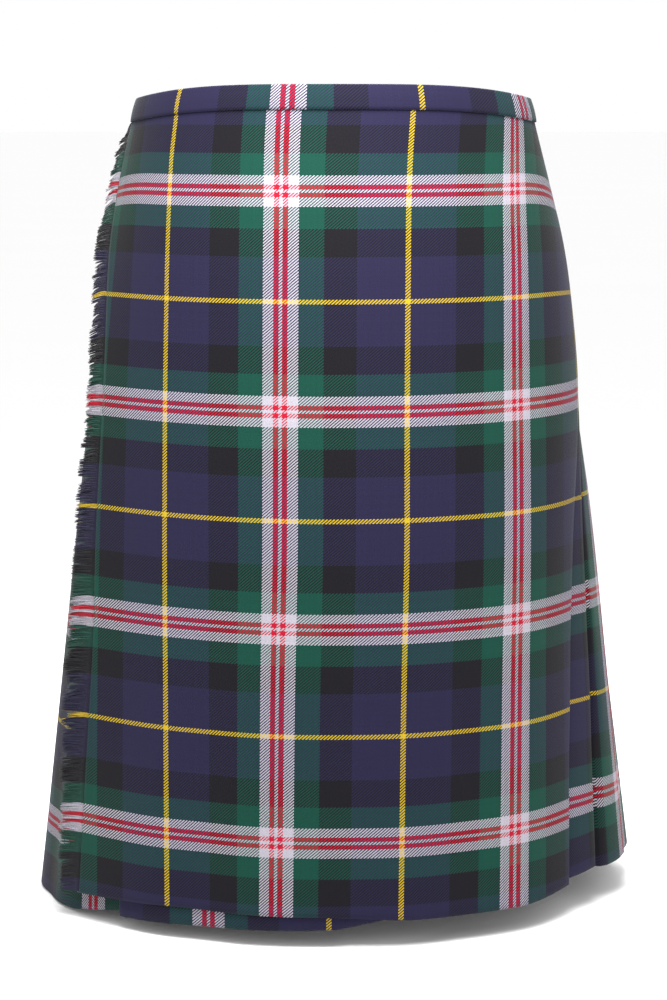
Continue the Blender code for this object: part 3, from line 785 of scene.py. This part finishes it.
def under_apron_grid():
    """Columns run along the leg behind the reverse pleat, round its fold, across the front
    and down the slope to the free edge."""
    leg, front, free = UNDER_COLUMNS
    beyond, deeper = turn_round(0.5)
    columns = leg + len(beyond) + front + free - 1
    leg_share, front_share, free_share = [np.linspace(0.0, 1.0, count)[None, :] for count in UNDER_COLUMNS]

    def angles_at(z):
        z = z[:, :1]
        fold = edge("under_fold", z)
        end = station_angle(UNDER_RAMP[1], z)
        behind = blend(edge("under_turn", z), fold, leg_share)
        bend = fold - beyond[None, ::-1] * UNDER_BULGE
        free_edge = np.maximum(edge("under_free", z), end + UNDER_LEAST)
        last = blend(end, free_edge, free_share[:, 1:])
        return np.concatenate([behind, bend, blend(fold, end, front_share), last], axis=1)

    angles, z = hung(angles_at, columns, UNDER_ROWS, UNDER_SELVEDGE, UNDER_HEM_ROWS)
    depth = under_depth(angles, z)
    depth[:, :leg] = layer_depth(2, z)[:, :leg]
    bend = slice(leg, leg + len(beyond))
    depth[:, bend] = blend(layer_depth(2, z[:, bend]), layer_depth(1, z[:, bend]), deeper)
    run = along(angles, z)
    fold_run = run[:, leg - 1:leg]
    run[:, :leg] = 2.0 * fold_run - run[:, :leg]
    return on_form(angles, z, depth), run - UNDER_WHITE, z - UNDER_SELVEDGE


under_apron = cloth_piece("under_apron_cloth", [under_apron_grid()])
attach(under_apron, "root")
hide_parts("under_apron")

# --- Wearer's right side ---
# The plain stretch between the last knife pleat and the reverse pleat. It goes from inside the
# pleats round the right hip, and ends behind the aprons.

SIDE_HEM_ROWS = [(252.0, -0.606), (290.0, -0.610), (302.0, -0.608), (318.0, -0.598)]
SIDE_SELVEDGE = -0.609
SIDE_WHITE = -0.1997
SIDE_TUCK = 0.026
SIDE_TUCK_FROM = 0.020
SIDE_TUCK_SPAN = 0.030
SIDE_ROWS = 120
SIDE_COLUMNS = (12, 44, 10)
HIP_EASE = 14.0
REVERSE_EASE = 3.0
NO_PLEAT = 99.0

# Each pleat, how deep the valley beside its fold is at the hem, and how far its fold has swung
# round by then. A pleat hangs open from 20 cm down. The first one's fold also slides round,
# furthest just below the fixed part, where the over apron draws it forward: height and slide.
HANG_ROWS = [
    (1, 0.0280, 0.0000), (2, 0.0030, 0.0012), (3, 0.0052, -0.0008), (4, 0.0020, 0.0020),
    (5, 0.0045, -0.0015), (6, 0.0030, 0.0010), (7, 0.0016, 0.0024), (8, 0.0048, -0.0012),
    (9, 0.0026, 0.0016), (10, 0.0038, -0.0018), (11, 0.0018, 0.0008), (12, 0.0050, 0.0022),
    (13, 0.0024, -0.0010), (14, 0.0036, 0.0014), (15, 0.0020, -0.0016), (16, 0.0030, 0.0006),
]
FIRST_SLIDE_ROWS = [
    (-0.16, 0.0), (-0.22, -0.010), (-0.27, -0.015), (-0.36, -0.0105), (-0.44, -0.0075), (-0.61, -0.009),
]
LOOSE_FROM = -0.20
LOOSE_SPAN = 0.39
LOOSE_POWER = 0.6
VALLEY_PAST = 0.13
VALLEY_WIDTH = 0.15


def looseness(z):
    """0 where the pleats are fixed down, rising quickly at first and then slowly to 1 at the
    hem: the share of the way down, to the power 0.6."""
    return np.clip((LOOSE_FROM - z) / LOOSE_SPAN, 0.0, 1.0) ** LOOSE_POWER


def slid(pleat, z):
    """How many faces round from its place a pleat's fold lies: its swing and, on the first
    pleat, its slide, over the width of a face there."""
    moved = HANG_ROWS[pleat - 1][2] * looseness(z)
    if pleat == 1:
        moved = moved + eased(FIRST_SLIDE_ROWS, z)
    return moved / face_width(z[:, :1])


def valleys(stations, z, pleat):
    """How far a layer under a pleat is pressed in: the sum, over the pleats that lie over it,
    of a bell curve just past each one's fold, times how loosely the cloth hangs there."""
    pressed = np.zeros(np.broadcast(stations, z).shape)
    for above, valley, _ in HANG_ROWS[:pleat - 1]:
        past = stations - above - slid(above, z) - VALLEY_PAST
        pressed += valley * np.exp(-(past / VALLEY_WIDTH) ** 2)
    return pressed * looseness(z)


def right_side_grid():
    """Columns run from two faces inside the last pleat, round the hip, to behind the aprons.
    The depth goes straight between its value inside the pleats, at the last fold, on the hip
    and behind the reverse pleat."""
    hidden, hip, covered = SIDE_COLUMNS
    columns = hidden + hip + covered - 2
    inside = np.linspace(PLEATS - 2.0, PLEATS, hidden)
    hip_share, covered_share = [np.linspace(0.0, 1.0, count)[None, 1:] for count in SIDE_COLUMNS[1:]]

    def angles_at(z):
        z = z[:, :1]
        inner = station_angle(inside[None, :], z)
        fold = 360.0 + edge("under_fold", z)
        round_hip = blend(inner[:, -1:], fold, hip_share)
        behind = blend(fold, 360.0 + edge("under_turn", z), covered_share)
        return np.concatenate([inner, round_hip, behind], axis=1)

    angles, z = hung(angles_at, columns, SIDE_ROWS, SIDE_SELVEDGE, SIDE_HEM_ROWS)
    outer = PLEAT_SPIRAL + step(z) + LOOSE
    inner = (DEEP + 1) * step(z) + PLEAT_SPIRAL + LOOSE
    last = angles[:, hidden - 1:hidden]
    fold = 360.0 + edge("under_fold", z)
    behind = layer_depth(3, z) - CLOTH / 2

    def ramp(low, high):
        return np.clip((angles - low) / (high - low), 0.0, 1.0)

    depth = inner + (outer - inner) * ramp(angles[:, :1], last) + CLOTH / 2
    depth = depth + (PLEAT_SPIRAL - outer) * ramp(last, last + HIP_EASE)
    depth = depth + (behind - PLEAT_SPIRAL) * ramp(fold - HIP_EASE, fold - REVERSE_EASE)
    stations = np.concatenate([inside, np.full(columns - hidden, NO_PLEAT)])
    depth = depth + valleys(stations[None, :], z, PLEATS + 1)
    off = along(360.0, z) + SIDE_WHITE - along(angles, z)
    off = off - SIDE_TUCK * smooth((off - SIDE_TUCK_FROM) / SIDE_TUCK_SPAN)
    return on_form(angles, z, depth), off, z - SIDE_SELVEDGE


right_side = cloth_piece("right_side_cloth", [right_side_grid()])
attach(right_side, "root")
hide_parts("right_side")

# --- Knife pleats ---
# Sixteen pressed pleats round the back, pleated to the sett: every face shows the next sixth of
# the sett, so the check runs on unbroken. They are fixed down over the hips and open below.

# The lower edge: a pleat's fold, and the edge's height there.
PLEAT_HEM_ROWS = [(0.0, -0.5790), (1.0, -0.5795), (2.0, -0.5815), (4.0, -0.5880), (16.0, -0.606)]
FACE_SAG = 0.0042
SAGGING = 2
LATER_SAG = 0.3
SAG_SPAN = 0.06
FIRST_DRAWN = 1.033
DRAWN_PLEATS = (1.0, 9.0)
PLEAT_ROWS = 110
FACE_COLUMNS = 22
FIRST_FOLD_PLACE = -0.0475
SECOND_FOLD_PLACE = -0.0010
SHOWN = 2.0 * HALF_SETT / 6.0
PLEATS_TOGETHER = 4


def pleat_grid(number):
    """Columns run out from under the next pleats to the fold, round it, and two faces back.
    The face leg sinks by one step a face away from the fold."""
    fold = number + 1.0
    face = np.linspace(fold - DEEP - 1.0, fold, FACE_COLUMNS)
    back = np.linspace(fold, fold - DEEP, LEG_COLUMNS)
    stations = np.concatenate([face, fold + TURN_BEYOND / TURNED_FACE, back])[None, :]
    hem_stations = np.concatenate([face, np.full(len(TURN_BEYOND), fold), back])[None, :]
    hem = column(PLEAT_HEM_ROWS, hem_stations)
    sag = FACE_SAG * (1.0 if number < SAGGING else LATER_SAG)
    sag = sag * np.sin(math.pi / 2 * np.clip(fold - hem_stations, 0.0, 2.0))
    top = -TOP_GAP - waist_dip(station_angle(stations, np.zeros_like(stations)))
    z = heights(PLEAT_ROWS, stations.shape[1], top, hem - sag)
    aside = slid(number + 1, z)
    angles = station_angle(stations + aside, z)
    depth = fold_depth(fold, z) + CLOTH / 2 + step(z) * (fold - stations)
    depth[:, FACE_COLUMNS:] = behind_fold(fold, z[:, FACE_COLUMNS:])
    depth = depth - step(z) * aside + valleys(stations + aside, z, number + 1)
    at_fold = FIRST_FOLD_PLACE if number == 0 else SECOND_FOLD_PLACE + (number - 1) * SHOWN
    across = at_fold - (fold - stations) * face_width(z[:, :1])
    across[:, FACE_COLUMNS:] = 2.0 * at_fold - across[:, FACE_COLUMNS:]
    sagging = sag * np.clip(1.0 - (z - hem) / SAG_SPAN, 0.0, 1.0)
    drawn = np.interp(number, DRAWN_PLEATS, (FIRST_DRAWN, 1.0))
    return on_form(angles, z, depth), across, (z - hem + sagging) * drawn


for first in range(0, PLEATS, PLEATS_TOGETHER):
    numbers = range(first, first + PLEATS_TOGETHER)
    name = f"pleats_{first + 1:02d}_to_{first + PLEATS_TOGETHER:02d}"
    pleats = cloth_piece(name, [pleat_grid(n) for n in numbers])
    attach(pleats, "root")
    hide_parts(*[f"pleat_{n + 1:02d}" for n in numbers])

# --- Waistband ---
# A narrow band of the same tartan, sewn on face to face, turned up over the top edges of the
# layers and down behind them, with no stitches outside. Each apron and the back has its own.

BAND_HEIGHT = 0.0165
BAND_END_GAP = 0.6
BAND_SHIFT = 0.0026
BAND_WEFT_PLACE = WHITE_ABOVE_HEM + 0.0465
BAND_RADIUS = 0.0009
BAND_PLUMP = 0.0005
BAND_WALL_ROWS = 9
BAND_SEAM = (0.0001, 0.0005)
BAND_COLUMNS = {"over": 180, "under": 140, "back": 190}
COVER_EASE = (1.0, 4.0)


def at_waist(name):
    """The angle of an edge or a fold at the top."""
    return float(edge(name, 0.0))


def band_grid(angles, outer, inner, place):
    """A profile carried round the waist: the sewn foot turned in, the wall with a slight
    swell, a sine of its height, a quarter-circle at the top edge, and the flat top inward."""
    up = np.linspace(0.0, 1.0, BAND_WALL_ROWS)
    wall = -BAND_HEIGHT + (BAND_HEIGHT - BAND_RADIUS) * up
    sweep = np.radians([22.5, 45.0, 67.5, 90.0])
    swell = BAND_PLUMP * np.sin(math.pi * up)
    rim = BAND_RADIUS * (np.sin(sweep) - 1.0)
    turned_in = BAND_RADIUS * (1.0 - np.cos(sweep))
    height = np.concatenate([[-BAND_HEIGHT - BAND_SEAM[0]], wall, rim, [0.0, 0.0]])
    depth = np.concatenate([[BAND_SEAM[1]], -swell, turned_in, [0.0, 0.0]])
    share = np.concatenate([np.zeros(len(height) - 2), [0.5, 1.0]])[None, :]
    angles = angles[:, None] + 0.0 * share
    z = height[None, :] - CLOTH / 2 - waist_dip(angles)
    outer = outer[:, None]
    depths = np.where(share > 0.0, blend(outer + BAND_RADIUS, inner[:, None], share), outer + depth[None, :])
    along_wall = np.concatenate([[0.0], np.cumsum(np.hypot(np.diff(height), np.diff(depth)))])
    return on_form(angles, z, depths), place[:, None], BAND_WEFT_PLACE + along_wall[None, :]


def waistband(node_name, angles, outer, inner, place):
    """A stretch of the band that stands for one node of the frame."""
    made = cloth_piece(f"{node_name}_cloth", [band_grid(angles, outer, inner, place)])
    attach(made, "root")
    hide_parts(node_name)
    return made


def band_cloth(angles):
    """Depth of the outermost cloth under the back stretch, straight between its folds."""
    fold = 360.0 + at_waist("under_fold")
    knots = (at_waist("folded"), at_waist("last_pleat"), fold - HIP_EASE, fold - REVERSE_EASE)
    behind = float(layer_depth(3, 0.0)) - CLOTH / 2
    return np.interp(angles, knots, (0.0, PLEAT_SPIRAL, PLEAT_SPIRAL, behind))


pleats_depth = (DEEP + 1) * float(step(0.0))
deep_from = float(station_angle(-DEEP - 0.2, 0.0))
band_angles = np.linspace(at_waist("fringed"), at_waist("folded"), BAND_COLUMNS["over"])
waistband_over = waistband(
    "waistband_over", band_angles, np.full(len(band_angles), CLOTH / 2 - BAND_LAYER),
    np.interp(band_angles, (deep_from - 3.0, deep_from), (CLOTH, pleats_depth + CLOTH)),
    laid_across(along(band_angles, 0.0), 0.0) - BAND_SHIFT,
)

band_angles = np.linspace(at_waist("under_fold"), at_waist("under_free"), BAND_COLUMNS["under"])
band_inner = under_depth(band_angles, 0.0)
turn_ends = at_waist("under_turn") + np.array(COVER_EASE)
covered = np.interp(band_angles, turn_ends, (float(layer_depth(3, 0.0)), band_inner[0]))
waistband_under = waistband(
    "waistband_under", band_angles, band_inner - BAND_LAYER,
    np.maximum(band_inner, covered) + CLOTH / 2, along(band_angles, 0.0) - UNDER_WHITE,
)

back_end = 360.0 + at_waist("under_fold") - 2.0 * BAND_END_GAP
band_angles = np.linspace(at_waist("folded") + BAND_END_GAP, back_end, BAND_COLUMNS["back"])
band_inner = CLOTH / 2 + band_cloth(band_angles)
pleats_end = at_waist("last_pleat")
pleats_thick = np.interp(band_angles, (pleats_end, pleats_end + HIP_EASE), (pleats_depth, 0.0))
waistband_back = waistband(
    "waistband_back", band_angles, band_inner - BAND_LAYER,
    band_inner + pleats_thick + CLOTH / 2, along(band_angles, 0.0),
)

# --- Straps and tabs ---
# A black leather strap is sewn beside the end of each apron. It passes under its buckle's
# front bar and over its heel bar, and a short tab, sewn to the waistband, holds that bar.

STRAP_WIDTH = 0.024
STRAP_THICK = 0.0022
STRAP_TOP = -0.004
STRAP_END = 0.124
TIP = 0.012
TAB_WIDTH = 0.018
TAB_THICK = 0.0014
TAB_END = 0.100
BAR = 0.0026
SEAM = 0.0003
HEEL_BAR = 0.066
BAR_HEIGHT = 0.0044
SIDES = {"right": (262.0, -1.0), "left": (106.0, 1.0)}

# The distance along a strap from its root, and the height of its middle over the band.
STRAP_ROWS = [
    (0.0000, 0.0018),
    (0.0400, 0.0018),
    (0.0500, 0.0016),
    (0.0570, 0.0050),
    (0.0635, 0.0087),
    (0.0690, 0.0087),
    (0.0800, 0.0058),
    (0.0950, 0.0052),
    (0.1050, 0.0030),
    (STRAP_END, 0.0026),
]
PIN_SLOT = (0.0525, 0.0628)
PIN_SLOT_SHARE = 1.0 / 6.0
HOLES_FROM = 0.0760
HOLE_STEP = 0.0100
HOLE = 0.0016
STITCH_IN = 0.0024
STITCH_HALF = 0.00032
STITCH_STEP = 0.0015
STITCH_DASH = 0.00105
BLUNT = 0.18
TAB_INNER_ROWS = [(TAB_END, 0.0011), (0.092, 0.0011), (0.084, 0.0011), (0.077, 0.0011), (0.072, 0.0012)]
TAB_OUTER_ROWS = [(0.0740, 0.0032), (0.080, 0.0030), (0.086, 0.0028), (0.094, 0.0028)]


def leather(name, width, holes):
    """Black bridle leather: pores from noise, a stitch line by each edge, the stitch a dash of a repeating
    wave, and punched holes along the middle, painted near-black as painted shade because they are not cut."""
    made, tree, shader = material(name)
    place, run, across = cloth_place(tree)
    off = calc(tree, "ABSOLUTE", calc(tree, "SUBTRACT", across, width / 2))
    from_edge = calc(tree, "SUBTRACT", width / 2, off)
    from_line = calc(tree, "ABSOLUTE", calc(tree, "SUBTRACT", from_edge, STITCH_IN))
    dash = calc(tree, "LESS_THAN", calc(tree, "PINGPONG", run, STITCH_STEP), STITCH_DASH)
    stitch = calc(tree, "MULTIPLY", calc(tree, "LESS_THAN", from_line, STITCH_HALF), dash)
    pores = node(tree, "ShaderNodeTexVoronoi", feature="DISTANCE_TO_EDGE")
    feed(tree, pores, {"Vector": place, "Scale": 900.0})
    worn = noise(tree, place, 120.0, 4.0)
    base = mixed(tree, stitch, mixed(tree, worn, dyed(24, 23, 23), dyed(44, 42, 41)), dyed(62, 60, 58))
    height = calc(tree, "MULTIPLY_ADD", stitch, 0.8, calc(tree, "MINIMUM", pores.outputs[0], 0.3))
    if holes:
        beside = calc(tree, "PINGPONG", calc(tree, "SUBTRACT", run, HOLES_FROM), HOLE_STEP / 2)
        squares = calc(tree, "ADD", calc(tree, "POWER", beside, 2.0), calc(tree, "POWER", off, 2.0))
        inside = calc(tree, "LESS_THAN", calc(tree, "SQRT", squares), HOLE)
        past_first = calc(tree, "GREATER_THAN", run, HOLES_FROM - HOLE_STEP / 2)
        before_tip = calc(tree, "LESS_THAN", run, STRAP_END - TIP)
        inside = calc(tree, "MULTIPLY", calc(tree, "MULTIPLY", inside, past_first), before_tip)
        # Painted shade: the holes are not cut, and their inside is painted near-black for the shade of an
        # open hole.
        base = mixed(tree, inside, base, dyed(6, 6, 6))
        height = calc(tree, "MULTIPLY_ADD", inside, -2.0, height)
    add_bump(tree, shader, height, 0.5, 0.0002)
    feed(tree, shader, {"Base Color": base, "Roughness": calc(tree, "MULTIPLY_ADD", worn, 0.25, 0.32)})
    return made


def by_band(side, run, down, height):
    """Points beside the waistband: back along the waist from the strap's root, down from the
    strap's top, and out from the band's face."""
    root, way = SIDES[side]
    start = along(root, -BAND_HEIGHT)
    level = RUNS[int(round(BAND_HEIGHT / LEVEL_STEP))]
    angle = np.interp(start + way * np.asarray(run), level, ROUND)
    z = STRAP_TOP - np.asarray(down) - waist_dip(angle)
    return on_form(angle, z, band_cloth(angle) - BAND_LAYER - np.asarray(height))


def leather_piece(name, place, run, across, skin, thickness, keep=None):
    """A leather strip with its thickness and softly rounded edges. The faces where keep is
    false are cut out."""
    faces = grid_faces(*place.shape[:2])
    if keep is not None:
        faces = faces[keep.ravel()]
    weave = np.stack(np.broadcast_arrays(run, across), axis=-1).reshape(-1, 2)
    made = mesh_object(name, place.reshape(-1, 3), faces, skin, weave)
    add_wall(made, "Leather", thickness)
    soft = made.modifiers.new("Edges", "BEVEL")
    soft.width = thickness * 0.28
    soft.segments = 2
    soft.limit_method = "ANGLE"
    soft.angle_limit = math.radians(50.0)
    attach(made, "root")
    return made


def strap_grid(side):
    """Rows along the strap, 1.25 mm apart, and columns across it. The width falls to a blunt
    point over the tip, by the square root of what is left of it."""
    run = np.unique(np.concatenate([np.arange(0.0, STRAP_END, 0.00125), PIN_SLOT, [STRAP_END]]))
    share = np.unique(np.concatenate([np.linspace(-1.0, 1.0, 13), [-PIN_SLOT_SHARE, PIN_SLOT_SHARE]]))
    left = np.clip((STRAP_END - run) / TIP, 0.0, 1.0)
    half = STRAP_WIDTH / 2 * (BLUNT + (1.0 - BLUNT) * np.sqrt(1.0 - (1.0 - left) ** 2))
    down = STRAP_WIDTH / 2 + half[:, None] * share[None, :]
    reach = np.linspace(-0.004, 0.004, 5)[:, None]
    height = column(STRAP_ROWS, run[None, :] + reach).mean(axis=0)[:, None]
    middle = (run[1:] + run[:-1]) / 2
    slot = ((middle > PIN_SLOT[0]) & (middle < PIN_SLOT[1]))[:, None]
    narrow = (np.abs(share[1:] + share[:-1]) / 2 < PIN_SLOT_SHARE)[None, :]
    return by_band(side, run[:, None], down, height), run[:, None], down, ~(slot & narrow)


def tab_grid(side):
    """Rows along the tab: out over the strap's back, round the heel bar in a half circle, and
    back against the band."""
    loop = BAR / 2 + SEAM + TAB_THICK / 2
    turn = np.radians(np.linspace(-90.0, -270.0, 11))
    bar = np.stack([HEEL_BAR + loop * np.cos(turn), BAR_HEIGHT + loop * np.sin(turn)], axis=-1)
    run, height = np.concatenate([TAB_INNER_ROWS, bar, TAB_OUTER_ROWS]).T
    across = TAB_WIDTH / 2 * (1.0 + np.linspace(-1.0, 1.0, 9))[None, :]
    down = (STRAP_WIDTH - TAB_WIDTH) / 2 + across
    length = np.concatenate([[0.0], np.cumsum(np.hypot(np.diff(run), np.diff(height)))])
    return by_band(side, run[:, None], down, height[:, None]), length[:, None], across


strap_leather = leather("strap_leather_black", STRAP_WIDTH, True)
tab_leather = leather("tab_leather_black", TAB_WIDTH, False)
for side in SIDES:
    place, run, down, keep = strap_grid(side)
    strap = leather_piece(f"strap_{side}_leather", place, run, down, strap_leather, STRAP_THICK, keep)
    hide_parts(f"strap_{side}")
    place, run, down = tab_grid(side)
    tab = leather_piece(f"tab_{side}_leather", place, run, down, tab_leather, TAB_THICK)
    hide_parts(f"tab_{side}")

# --- Buckles ---
# Nickel-plated steel: a rounded rectangle bent from rod, and a loose pin through the strap.
# Both keep their shape from the frame and get the plating here.


def plating(name):
    """Polished plating with fine rubbed scratches, a noise drawn out along the waist."""
    made, tree, shader = material(name)
    stretch = node(tree, "ShaderNodeMapping")
    feed(tree, stretch, {0: node(tree, "ShaderNodeTexCoord").outputs["Object"], "Scale": (1.0, 1.0, 12.0)})
    rubbed = noise(tree, stretch.outputs[0], 260.0, 5.0)
    add_bump(tree, shader, rubbed, 0.08, 0.0001)
    feed(tree, shader, {
        "Base Color": mixed(tree, rubbed, dyed(186, 186, 190), dyed(214, 213, 212)),
        "Roughness": calc(tree, "MULTIPLY_ADD", rubbed, 0.22, 0.1),
        "Metallic": 1.0,
    })
    return made


nickel = plating("buckle_plating")
for name in ("buckle_left", "buckle_right", "pin_left", "pin_right"):
    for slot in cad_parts[name].material_slots:
        slot.material = nickel

# --- Floor, light and camera ---
# A plain pale floor with soft studio light from above and both sides.

FLOOR_Z = float(cad_box[0][2]) - 0.001
FLOOR_HALF = 60.0


def studio_white(name):
    """A pale matt floor with a trace of unevenness."""
    made, tree, shader = material(name)
    cloud = noise(tree, node(tree, "ShaderNodeTexCoord").outputs["Object"], 1.5)
    feed(tree, shader, {
        "Base Color": mixed(tree, cloud, (0.965, 0.965, 0.965, 1.0), (0.985, 0.985, 0.985, 1.0)),
        "Roughness": 0.9,
        "Specular IOR Level": 0.1,
    })
    return made


corners = [(FLOOR_HALF * x, FLOOR_HALF * y, FLOOR_Z) for x, y in ((-1, -1), (1, -1), (1, 1), (-1, 1))]
floor = mesh_object("studio_floor", corners, [(0, 1, 2, 3)], studio_white("studio_floor_white"))

# Each light's name, place, size and power. All of them aim at the middle of the kilt.
LIGHT_AIM = (0.0, 0.0, -0.3)
LIGHT_ROWS = [
    ("overhead", (0.0, -0.46, 0.40), 0.5, 16.0),
    ("front_left", (-1.9, -2.2, 1.2), 1.6, 3.5),
    ("front_right", (1.9, -2.0, 1.1), 1.6, 3.0),
    ("behind", (0.0, 0.60, 0.40), 0.5, 14.0),
]
for name, place, size, power in LIGHT_ROWS:
    data = bpy.data.lights.new(name, "AREA")
    data.size = size
    data.energy = power
    light = placed(name, data)
    light.location = place
    light.visible_camera = False
    aim = np.array(LIGHT_AIM) - np.array(place)
    light.rotation_euler = (math.atan2(math.hypot(aim[0], aim[1]), -aim[2]), 0.0, math.atan2(-aim[0], aim[1]))

world = bpy.data.worlds.new("studio")
world.use_nodes = True
world.node_tree.nodes["Background"].inputs[0].default_value = (1.0, 1.0, 1.0, 1.0)
world.node_tree.nodes["Background"].inputs[1].default_value = 1.0
bpy.context.scene.world = world
bpy.context.scene.view_settings.view_transform = "Standard"
bpy.context.scene.cycles.denoising_prefilter = "NONE"

view = bpy.data.cameras.new("view")
view.sensor_fit = "VERTICAL"
view.sensor_height = 36.0
view.lens = 91.9
camera = placed("view", view)
camera.location = (0.0, -1.905, -0.016)
camera.rotation_euler = (math.radians(90.0 - 8.75), 0.0, 0.0)
bpy.context.scene.camera = camera
